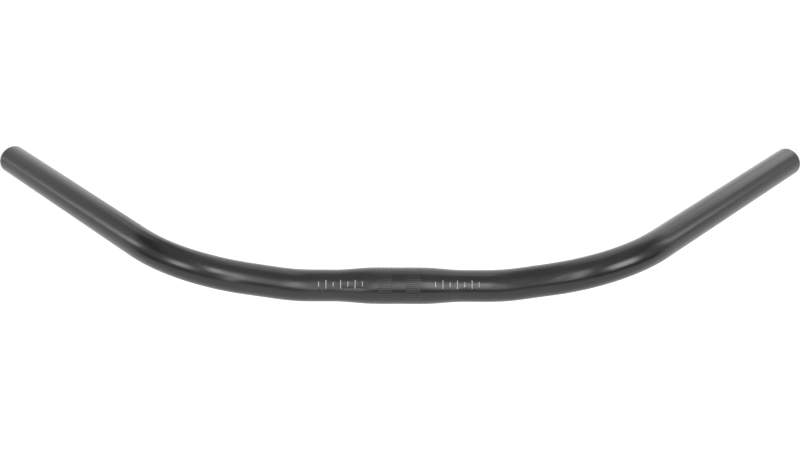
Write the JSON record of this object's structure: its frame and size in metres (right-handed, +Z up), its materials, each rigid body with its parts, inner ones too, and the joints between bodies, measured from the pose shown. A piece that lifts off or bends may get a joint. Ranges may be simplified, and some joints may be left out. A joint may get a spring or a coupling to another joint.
{
  "type": "trekking handlebar",
  "caption": "Swept-back bicycle handlebar: one bent black aluminium tube with a wider, knurled clamp seat in the middle and straight level grip ends.",
  "frame": {"origin": "the middle of the clamp seat, on the tube's axis", "axes": "+X along the clamp seat towards the rider's left hand, +Y back to the rider, +Z up with the grips level"},
  "size_m": [0.6348, 0.1827, 0.0428],
  "materials": {
    "black_finish": "satin black anodised aluminium",
    "grey_print": "light grey printing ink, baked on"
  },
  "bodies": {
    "root": {"handlebar": "black_finish"}
  },
  "joints": []
}
